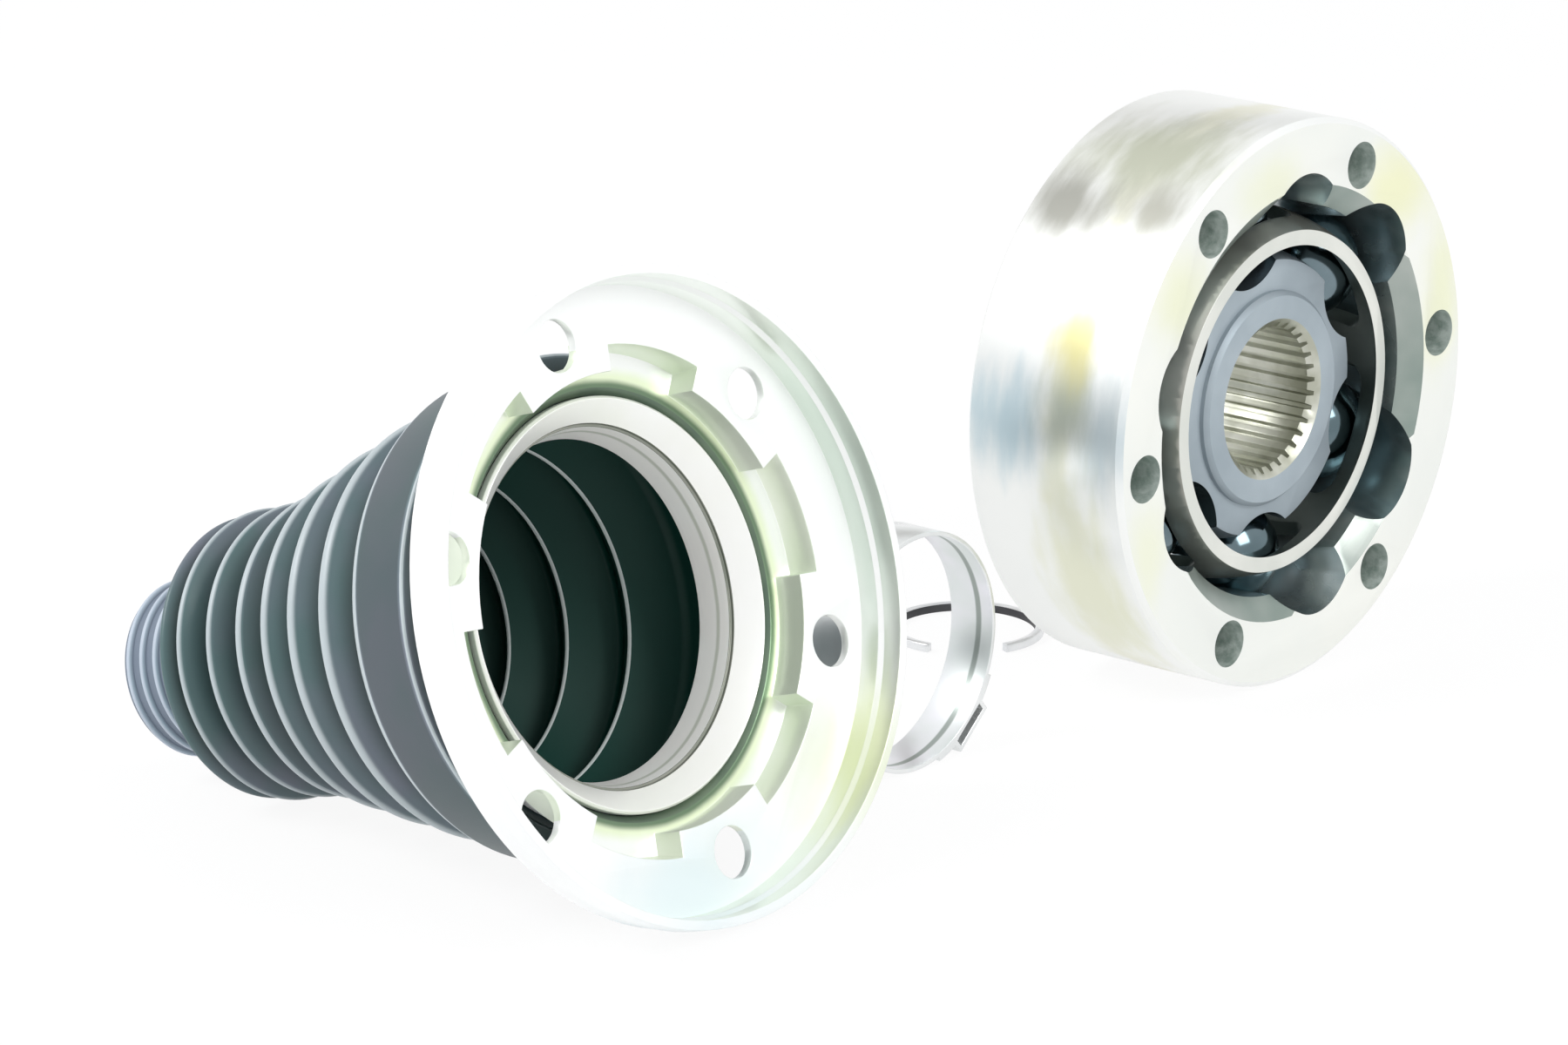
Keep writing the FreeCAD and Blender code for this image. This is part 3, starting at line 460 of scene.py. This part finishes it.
# a merged copy of a CAD node. Its edges are rounded by width in millimetres, where two faces
# meet at more than limit degrees. choose(centre, normal) names each face's zone. cuts is (place,
# first angle): the faces are split there, so that none of them goes round a hole.
def softened(node, name, width, body, zones, choose, limit=meshing["roundedAbove"],
             cuts=None):
    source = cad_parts[node]
    merge = meshing["mergeCopy"] * mm
    bm = bmesh.new()
    bm.from_mesh(source.data)
    bmesh.ops.remove_doubles(bm, verts=bm.verts, dist=merge)
    for index in range(3 if cuts else 0):
        angle = math.radians(cuts[1] + boltPitch * index)
        across = Vector((0, math.cos(angle), -math.sin(angle)))
        cut = bmesh.ops.bisect_plane(bm, geom=bm.verts[:] + bm.edges[:] + bm.faces[:], dist=merge,
                                     plane_co=cuts[0].translation,
                                     plane_no=cuts[0].to_3x3() @ across)
        for edge in cut["geom_cut"]:
            if isinstance(edge, bmesh.types.BMEdge):
                edge.seam = True
    bmesh.ops.dissolve_limit(bm, angle_limit=math.radians(meshing["flatBelow"]), verts=bm.verts,
                             edges=bm.edges, delimit={"SEAM"})
    sharp = [edge for edge in bm.edges
             if len(edge.link_faces) == 2 and edge.calc_face_angle(0) > math.radians(limit)]
    bmesh.ops.bevel(bm, geom=sharp, offset=width * mm, offset_type="OFFSET",
                    segments=meshing["edgeSteps"], profile=0.5, affect="EDGES",
                    clamp_overlap=True, material=-1)
    names = list(zones)
    for face in bm.faces:
        face.smooth = True
        face.material_index = names.index(choose(face.calc_center_median() / mm, face.normal))
    mesh = bpy.data.meshes.new(name)
    bm.to_mesh(mesh)
    bm.free()
    for zone in names:
        mesh.materials.append(finishes[zone])
    mesh.set_sharp_from_angle(angle=math.radians(meshing["sharpCopy"]))
    piece = bpy.data.objects.new(name, mesh)
    bpy.context.scene.collection.objects.link(piece)
    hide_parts(node)
    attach(piece, body)


# in each dictionary of sizes, a name in Facing is the least or greatest share of a face's normal
raceSizes = {"boltCircle": 43.0, "firstBolt": 24.8, "holeRadius": 4.15, "holeSlack": 0.1,
             "holeFacing": 0.5, "half": 16.5, "faceSlack": 0.2, "side": 48.8, "bore": 34.5,
             "mouthWidth": 4.5, "mouthFacing": 0.4, "edge": 0.25}


def raceZone(centre, normal):
    sizes = raceSizes
    radius = math.hypot(centre.y, centre.z)
    turn = math.degrees(math.atan2(centre.y, centre.z)) - sizes["firstBolt"]
    nearest = math.radians((turn + boltPitch / 2) % boltPitch - boltPitch / 2)
    gap = math.hypot(radius * math.cos(nearest) - sizes["boltCircle"], radius * math.sin(nearest))
    if gap < sizes["holeRadius"] + sizes["holeSlack"] and abs(normal.x) < sizes["holeFacing"]:
        return "boltHoles"
    if abs(centre.x) > sizes["half"] - sizes["faceSlack"]:
        return "raceFace"
    if radius > sizes["side"]:
        return "raceOutside"
    if abs(normal.x) > sizes["mouthFacing"] and radius < sizes["bore"] + sizes["mouthWidth"]:
        return "raceMouth"
    return "raceBore"


kit = "outer_race_and_kit"
softened("outer_race", "outerRace", raceSizes["edge"], kit,
         ("raceOutside", "raceFace", "raceMouth", "raceBore", "boltHoles"), raceZone)

cageSizes = {"end": 13.0, "endFacing": 0.6, "sphere": 32.6, "sphereFacing": 0.6, "edge": 0.4}


def cageZone(centre, normal):
    sizes = cageSizes
    if abs(normal.x) > sizes["endFacing"] and abs(centre.x) > sizes["end"]:
        return "cageEdge"
    outward = Vector((0, centre.y, centre.z)).normalized().dot(normal)
    onSphere = outward > sizes["sphereFacing"] and centre.length > sizes["sphere"]
    return "cageBall" if onSphere else "cageWall"


softened("cage", "ballCage", cageSizes["edge"], "cage",
         ("cageEdge", "cageBall", "cageWall"), cageZone)

hubSizes = {"face": 9.0, "faceFacing": 0.9, "spline": 14.25, "chamfer": 9.6, "sphere": 26.3,
            "sphereSlack": 0.25, "edge": 0.12, "roundedAbove": 40.0}


def hubZone(centre, normal):
    sizes = hubSizes
    radius = math.hypot(centre.y, centre.z)
    if abs(normal.x) > sizes["faceFacing"] and abs(centre.x) > sizes["face"]:
        return "hubFace"
    if radius < sizes["spline"]:
        return "spline"
    onSphere = abs(centre.length - sizes["sphere"]) < sizes["sphereSlack"]
    return "hubFace" if abs(centre.x) > sizes["chamfer"] or onSphere else "hubTracks"


softened("inner_race", "innerRace", hubSizes["edge"], "inner_race",
         ("spline", "hubFace", "hubTracks"), hubZone, limit=hubSizes["roundedAbove"])
print("joint pieces made")

capSizes = {"firstBolt": -8.0, "face": 8.0, "floor": 13.5, "floorSlack": 0.3, "collar": 33.4,
            "collarWidth": 1.4, "collarDepth": 0.1, "stepDepth": 3.95, "stepSlack": 0.4,
            "lip": 50.25, "lipSlack": 0.8, "lipFacing": 0.5, "pocket": 41.2, "frontFacing": 0.7,
            "edge": 0.35}


# a face's depth and radius in the boot's own place, and its normal's share forward and outward
def inBoot(centre, normal):
    local = bootTurn.inverted() @ (centre * mm)
    turned = bootTurn.to_3x3().inverted() @ normal
    outward = Vector((0, local.y, local.z)).normalized().dot(turned)
    return -local.x / mm, math.hypot(local.y, local.z) / mm, turned.x, outward


def capZone(centre, normal):
    sizes = capSizes
    depth, radius, forward, outward = inBoot(centre, normal)
    pastFloor = depth > sizes["floor"] + sizes["collarDepth"]
    if radius < sizes["collar"] + sizes["collarWidth"] and pastFloor:
        return "collar"
    if forward > sizes["frontFacing"]:
        return "capFloor" if abs(depth - sizes["floor"]) < sizes["floorSlack"] else "cap"
    if abs(depth - sizes["stepDepth"]) < sizes["stepSlack"]:
        return "cap"
    inLip = depth < sizes["face"] and radius < sizes["lip"] + sizes["lipSlack"]
    if inLip and outward < -sizes["lipFacing"]:
        return "lipWall"
    inPocket = sizes["face"] < depth < sizes["floor"] and radius < sizes["pocket"]
    return "capWall" if inPocket and abs(forward) < sizes["frontFacing"] else "cap"


softened("boot_cap", "bootCap", capSizes["edge"], kit,
         ("cap", "lipWall", "capWall", "capFloor", "collar"), capZone,
         cuts=(bootTurn, capSizes["firstBolt"]))


# a solid turned round the boot's axis from corners given as (depth, radius, rounding).
# height(depth, radius, outward) is kept at each point, for a material to read.
def turnedPiece(name, section, steps, zones, choose, height=None):
    bm = bmesh.new()
    corners = [bm.verts.new((-depth * mm, 0, radius * mm)) for depth, radius, rounding in section]
    for first, second in zip(corners, corners[1:] + corners[:1]):
        bm.edges.new((first, second))
    for rounding in sorted({corner[2] for corner in section if corner[2]}):
        alike = [vert for vert, corner in zip(corners, section) if corner[2] == rounding]
        bmesh.ops.bevel(bm, geom=alike, offset=rounding * mm, offset_type="OFFSET",
                        segments=meshing["cornerSteps"], profile=0.5, affect="VERTICES",
                        clamp_overlap=True, material=-1)
    bmesh.ops.spin(bm, geom=bm.verts[:] + bm.edges[:], cent=(0, 0, 0), axis=(1, 0, 0),
                   angle=math.tau, steps=steps, use_merge=True, use_duplicate=False)
    bmesh.ops.remove_doubles(bm, verts=bm.verts, dist=meshing["mergeTurned"] * mm)
    bmesh.ops.recalc_face_normals(bm, faces=bm.faces)
    bm.normal_update()
    for face in bm.faces:
        face.smooth = True
        centre = face.calc_center_median() / mm
        outward = Vector((0, centre.y, centre.z)).normalized().dot(face.normal)
        chosen = choose(-centre.x, math.hypot(centre.y, centre.z), outward)
        face.material_index = zones.index(chosen)
    if height:
        layer = bm.verts.layers.float.new("foldHeight")
        for vert in bm.verts:
            outward = Vector((0, vert.co.y, vert.co.z)).normalized().dot(vert.normal)
            vert[layer] = height(-vert.co.x / mm, math.hypot(vert.co.y, vert.co.z) / mm, outward)
    bmesh.ops.transform(bm, matrix=bootTurn, verts=bm.verts)
    mesh = bpy.data.meshes.new(name)
    bm.to_mesh(mesh)
    bm.free()
    for zone in zones:
        mesh.materials.append(finishes[zone])
    mesh.set_sharp_from_angle(angle=math.radians(meshing["sharpTurned"]))
    piece = bpy.data.objects.new(name, mesh)
    bpy.context.scene.collection.objects.link(piece)
    return piece


# funnel, step and sleeve of the ring that presses the boot's bead into the collar
beadRingShape = {"corners": ((13.1, 32.8), (13.6, 33.3), (14.9, 33.3), (18.1, 30.1), (22.6, 28.7),
                             (22.6, 27.4), (17.1, 28.8), (17.1, 29.2), (16.7, 29.2)),
                 "rounding": 0.15, "steps": 144, "stepDepths": (16.6, 17.3), "stepRadius": 29.4}


def ringZone(depth, radius, outward):
    low, high = beadRingShape["stepDepths"]
    if depth > high:
        return "ringSleeve"
    return "ringStepShade" if depth > low and radius < beadRingShape["stepRadius"] else "ring"


beadRing = turnedPiece("beadRing", [(*corner, beadRingShape["rounding"]) for corner in
                                    beadRingShape["corners"]],
                       beadRingShape["steps"], ("ring", "ringStepShade", "ringSleeve"), ringZone)
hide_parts("boot_retaining_ring")
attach(beadRing, kit)

clampSizes = {"centre": Vector((-6.8, -80.0, -29.3)), "inside": 19.9, "insideSlack": 0.15,
              "insideFacing": 0.5, "edge": 0.12}
clipSizes = {"centre": Vector((-44.0, -15.0, -49.25)), "insideFacing": 0.6, "edge": 0.15}


def clampZone(centre, normal):
    sizes = clampSizes
    away = centre - sizes["centre"]
    inside = math.hypot(away.y, away.z) < sizes["inside"] + sizes["insideSlack"]
    return "clampInside" if inside and abs(normal.x) < sizes["insideFacing"] else "clamp"


def clipZone(centre, normal):
    away = centre - clipSizes["centre"]
    inward = -away.normalized().dot(normal)
    return "clipInside" if inward > clipSizes["insideFacing"] else "clip"


softened("neck_clamp", "neckClamp", clampSizes["edge"], kit,
         ("clamp", "clampInside"), clampZone)
softened("shaft_circlip", "shaftCirclip", clipSizes["edge"], kit,
         ("clip", "clipInside"), clipZone)
print("kit pieces made")

ballSizes = {"count": 6, "radius": 9.525, "subdivisions": 4}

for index in range(ballSizes["count"]):
    ballName = f"ball_{index + 1}"
    low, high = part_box(ballName)
    bm = bmesh.new()
    bmesh.ops.create_icosphere(bm, subdivisions=ballSizes["subdivisions"],
                               radius=ballSizes["radius"] * mm,
                               matrix=Matrix.Translation((low + high) / 2))
    for face in bm.faces:
        face.smooth = True
    mesh = bpy.data.meshes.new(f"polishedBall{index + 1}")
    bm.to_mesh(mesh)
    bm.free()
    mesh.materials.append(finishes["balls"])
    ball = bpy.data.objects.new(mesh.name, mesh)
    bpy.context.scene.collection.objects.link(ball)
    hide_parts(ballName)
    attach(ball, ballName)
print("balls made")

# the boot is one moulding from the bead in the cap to the end of the neck. Places are given as
# (depth, radius). bandHeight, endHeight and flankHeight are values of foldHeight, which sets the
# painted shade and highlights.
bootShape = {"crests": ((34.4, 38.1), (45.8, 34.8), (56.7, 31.5), (66.3, 28.4), (75.4, 25.5),
                        (83.6, 24.5), (90.8, 24.4)),
             "end": (95.6, 23.6), "endDrop": 3.0, "foldDrop": 6.0, "crestRise": 0.9,
             "rootFall": 0.5, "wall": 1.3, "innerCrestFall": 0.5, "crestRounding": 1.9,
             "rootRounding": 1.1, "innerRounding": 0.9, "small": 0.3, "steps": 120,
             "beadOutside": ((22.0, 32.1), (22.0, 36.2)),
             "beadInside": ((20.0, 32.1), (20.0, 33.3), (15.1, 33.3), (18.2, 30.2),
                            (23.3, 30.2), (23.3, 38.7), (25.2, 39.3)),
             "beadBore": 30.3, "shoulder": (20.8, 41.0), "shoulderFoot": 36.8,
             "shoulderFront": 0.8, "shoulderTop": 1.0, "bandEnd": (32.0, 39.4),
             "neckRadius": 14.3, "neckBore": 12.0, "neckStart": 97.4, "neckEnd": 115.1,
             "neckFall": 2.0, "neckInnerFall": 4.0, "neckSlack": 0.1, "neckRoom": 2.0,
             "ribPitch": 3.2, "ribWidth": 1.5, "ribHeight": 0.7, "ribs": 4, "ribSlack": 0.2,
             "insideStart": 24.5, "insideEnd": 1.0, "lineEnd": 2.0, "lineHalf": 0.45,
             "shoulderReach": 0.6, "shoulderDrop": 0.5, "endReach": 1.5, "ridgeDrop": 0.6,
             "ridgeFront": 1.4, "ridgeBack": 0.7, "bandHeight": 0.33, "endHeight": 0.6,
             "flankHeight": 0.75}


# depth and radius of the bottom of the fold behind each crest
def foldRoots():
    crests = (*bootShape["crests"], bootShape["end"])
    roots = []
    for index, ((depth, radius), (nextDepth, nextRadius)) in enumerate(zip(crests, crests[1:])):
        drop = bootShape["foldDrop"] if index < len(crests) - 2 else bootShape["endDrop"]
        roots.append(((depth + nextDepth) / 2, (radius + nextRadius) / 2 - drop))
    return roots


# corners of the wall's section as (depth, radius, rounding), outside to the neck and back inside
def bootSection():
    shape = bootShape
    wall, small, rise, fall = shape["wall"], shape["small"], shape["crestRise"], shape["rootFall"]
    shoulderDepth, shoulderRadius = shape["shoulder"]
    outer = [(*corner, small) for corner in shape["beadOutside"]]
    outer += [(shoulderDepth, shape["shoulderFoot"], small),
              (shoulderDepth, shoulderRadius - shape["shoulderFront"], 0),
              (shoulderDepth, shoulderRadius, small),
              (shoulderDepth + shape["shoulderTop"], shoulderRadius, 0), (*shape["bandEnd"], 0)]
    inner = [(*corner, small) for corner in shape["beadInside"]]
    for (depth, radius), (middle, bottom) in zip(shape["crests"], foldRoots()):
        outer += [(depth, radius + rise, shape["crestRounding"]),
                  (middle, bottom - fall, shape["rootRounding"])]
        inner += [(depth, radius - wall - shape["innerCrestFall"] + fall, shape["rootRounding"]),
                  (middle, bottom - wall - fall, shape["innerRounding"])]
    endDepth, endRadius = shape["end"]
    outer += [(endDepth, endRadius + fall, shape["rootRounding"]),
              (shape["neckStart"], endRadius - shape["neckFall"], shape["rootRounding"]),
              (shape["neckStart"], shape["neckRadius"], small)]
    for index in reversed(range(shape["ribs"])):
        middle = shape["neckEnd"] - shape["ribPitch"] * (index + 0.5)
        half, top = shape["ribWidth"] / 2, shape["neckRadius"] + shape["ribHeight"]
        outer += [(middle - half, shape["neckRadius"], 0), (middle - half / 2, top, small),
                  (middle + half / 2, top, small), (middle + half, shape["neckRadius"], 0)]
    outer.append((shape["neckEnd"], shape["neckRadius"], small))
    inner += [(shape["neckStart"] - wall, endRadius - shape["neckInnerFall"], small),
              (shape["neckStart"] - wall, shape["neckBore"], small),
              (shape["neckEnd"], shape["neckBore"], small)]
    return outer + inner[::-1]


def bootZone(depth, radius, outward):
    shape = bootShape
    pastFolds = depth > shape["neckStart"] - shape["neckSlack"]
    if pastFolds and radius < shape["neckRadius"] + shape["neckRoom"]:
        return "neckRubberPaintedLight"
    inFolds = shape["insideStart"] < depth < shape["neckStart"] - shape["insideEnd"]
    inside = outward < 0 and (inFolds or radius < shape["beadBore"])
    return "rubberInside" if inside else "rubber"


# 0 at the bottom of a fold and 1 on its crest. Inside, 1 is a line where a fold is deepest. The
# materials paint shade where it is low and a highlight where it is high.
def foldHeight(depth, radius, outward):
    shape = bootShape
    roots = foldRoots()
    if outward < 0:
        nearest = min(abs(depth - middle) for middle, bottom in roots[:-1])
        inFolds = shape["insideStart"] < depth < shape["neckStart"] - shape["lineEnd"]
        return 1.0 if nearest < shape["lineHalf"] and inFolds else 0.0
    shoulderDepth, shoulderRadius = shape["shoulder"]
    if depth < shoulderDepth + shape["shoulderReach"]:
        onEdge = radius > shoulderRadius - shape["shoulderDrop"]
        return 1.0 if onEdge else shape["bandHeight"]
    if radius < shape["neckRadius"] + shape["ribHeight"] + shape["ribSlack"]:
        return max(radius - shape["neckRadius"], 0.0) / shape["ribHeight"]
    if depth > shape["end"][0] - shape["endReach"]:
        return shape["endHeight"]
    crest, top = min(shape["crests"], key=lambda place: abs(place[0] - depth))
    nearCrest = -shape["ridgeFront"] < depth - crest < shape["ridgeBack"]
    if nearCrest and top - radius < shape["ridgeDrop"]:
        fade = 1.0 - shape["flankHeight"]
        return 1.0 - fade * max(top - radius, 0.0) / shape["ridgeDrop"]
    if depth < shape["crests"][0][0]:
        return shape["bandHeight"]
    middle, bottom = min(roots, key=lambda root: abs(root[0] - depth))
    return min(max((radius - bottom) / shape["foldDrop"], 0.0), 1.0) * shape["flankHeight"]


boot = turnedPiece("bellowsBoot", bootSection(), bootShape["steps"],
                   ("rubber", "rubberInside", "neckRubberPaintedLight"), bootZone, foldHeight)
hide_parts("boot_bellows", "boot_neck")
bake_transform(boot)
print("boot made with", len(boot.data.polygons), "faces")

studio = {"floorSize": 6.0, "floorHeight": -0.05, "floorSink": 0.0002, "floorShow": 0.9,
          "floorColour": (0.93, 0.93, 0.93), "floorRoughness": 0.9, "floorGlow": 1.02,
          "fill": 0.6, "fillColour": (0.95, 0.97, 1.0)}

bm = bmesh.new()
floorPlace = (0, 0, studio["floorHeight"] - studio["floorSink"])
bmesh.ops.create_grid(bm, x_segments=1, y_segments=1, size=studio["floorSize"] / 2,
                      matrix=Matrix.Translation(floorPlace))
floorMesh = bpy.data.meshes.new("studioFloor")
bm.to_mesh(floorMesh)
bm.free()
studioFloor = bpy.data.objects.new("studioFloor", floorMesh)
bpy.context.scene.collection.objects.link(studioFloor)


# 1 where the camera, a reflection or a clear piece looks at the background
def paleSight(tree):
    path = tree.nodes.new("ShaderNodeLightPath")
    seen = mathNode(tree, "ADD", path.outputs["Is Camera Ray"], path.outputs["Is Glossy Ray"])
    return mathNode(tree, "ADD", seen, path.outputs["Is Transmission Ray"], clamp=True)


floorMaterial = bpy.data.materials.new("paleFloor")
floorMaterial.use_nodes = True
tree = floorMaterial.node_tree
plain = tree.nodes["Principled BSDF"]
plain.inputs["Base Color"].default_value = (*studio["floorColour"], 1)
plain.inputs["Roughness"].default_value = studio["floorRoughness"]
glow = tree.nodes.new("ShaderNodeEmission")
glow.inputs["Color"].default_value = (1, 1, 1, 1)
glow.inputs["Strength"].default_value = studio["floorGlow"]
blendFloor = tree.nodes.new("ShaderNodeMixShader")
floorSight = mathNode(tree, "MULTIPLY", paleSight(tree), studio["floorShow"])
tree.links.new(floorSight, blendFloor.inputs[0])
tree.links.new(plain.outputs[0], blendFloor.inputs[1])
tree.links.new(glow.outputs[0], blendFloor.inputs[2])
tree.links.new(blendFloor.outputs[0], tree.nodes["Material Output"].inputs["Surface"])
floorMesh.materials.append(floorMaterial)

world = bpy.data.worlds.new("studioWorld")
bpy.context.scene.world = world
world.use_nodes = True
tree = world.node_tree
fill = tree.nodes["Background"]
fill.inputs["Color"].default_value = (*studio["fillColour"], 1)
fill.inputs["Strength"].default_value = studio["fill"]
shown = tree.nodes.new("ShaderNodeBackground")
shown.inputs["Color"].default_value = (1, 1, 1, 1)
shown.inputs["Strength"].default_value = 1.0
mixWorld = tree.nodes.new("ShaderNodeMixShader")
tree.links.new(paleSight(tree), mixWorld.inputs[0])
tree.links.new(fill.outputs[0], mixWorld.inputs[1])
tree.links.new(shown.outputs[0], mixWorld.inputs[2])
tree.links.new(mixWorld.outputs[0], tree.nodes["World Output"].inputs["Surface"])


# place, target, size and power of each lamp
softboxes = {"keyBox": ((-0.5, -0.9, 0.9), (-0.02, -0.08, 0), (0.7, 0.4), 9.0),
             "sideBox": ((0.9, -0.1, 0.7), (0, -0.05, 0), (0.5, 0.5), 5.0)}
for boxName, (place, target, size, power) in softboxes.items():
    lamp = bpy.data.lights.new(boxName, "AREA")
    lamp.shape = "RECTANGLE"
    lamp.size, lamp.size_y = size
    lamp.energy = power
    holder = bpy.data.objects.new(boxName, lamp)
    holder.location = place
    holder.rotation_euler = (Vector(target) - Vector(place)).to_track_quat("-Z", "Y").to_euler()
    bpy.context.scene.collection.objects.link(holder)

# grey cards that only reflections see, so the bright steel shows its form: place, spread, colour
cards = {"highBack": ((-0.75, 0.75, 0.62), (0.9, 0.35), (0.34, 0.33, 0.30)),
         "lowFront": ((-0.7, -0.85, 0.13), (0.8, 0.14), (0.42, 0.47, 0.52))}
for cardName, (place, spread, colour) in cards.items():
    bm = bmesh.new()
    toward = (Vector((0, 0, 0)) - Vector(place)).to_track_quat("Z", "Y").to_matrix().to_4x4()
    cardPlace = Matrix.Translation(place) @ toward @ Matrix.Diagonal((*spread, 1, 1))
    bmesh.ops.create_grid(bm, x_segments=1, y_segments=1, size=0.5, matrix=cardPlace)
    cardMesh = bpy.data.meshes.new(cardName + "Card")
    bm.to_mesh(cardMesh)
    bm.free()
    card = bpy.data.objects.new(cardMesh.name, cardMesh)
    bpy.context.scene.collection.objects.link(card)
    card.visible_camera = card.visible_diffuse = card.visible_shadow = False
    cardMaterial = bpy.data.materials.new(cardName + "Cloth")
    cardMaterial.use_nodes = True
    cloth = cardMaterial.node_tree.nodes["Principled BSDF"]
    cloth.inputs["Base Color"].default_value = (0, 0, 0, 1)
    cloth.inputs["Roughness"].default_value = 1.0
    cloth.inputs["Emission Color"].default_value = (*colour, 1)
    cloth.inputs["Emission Strength"].default_value = 1.0
    cardMesh.materials.append(cardMaterial)

view = {"place": (0.6935, -0.9438, 0.3271), "azimuth": 40.015, "elevation": 16.744,
        "lens": 160.0, "sensor": 36.0, "clip": (0.05, 20.0)}
azimuth, elevation = math.radians(view["azimuth"]), math.radians(view["elevation"])
back = Vector((math.sin(azimuth) * math.cos(elevation), -math.cos(azimuth) * math.cos(elevation),
               math.sin(elevation)))
cameraData = bpy.data.cameras.new("photoCamera")
cameraData.lens = view["lens"]
cameraData.sensor_width = view["sensor"]
cameraData.clip_start, cameraData.clip_end = view["clip"]
photoCamera = bpy.data.objects.new("photoCamera", cameraData)
photoCamera.location = view["place"]
photoCamera.rotation_euler = (-back).to_track_quat("-Z", "Y").to_euler()
bpy.context.scene.collection.objects.link(photoCamera)
bpy.context.scene.camera = photoCamera
print("studio made")
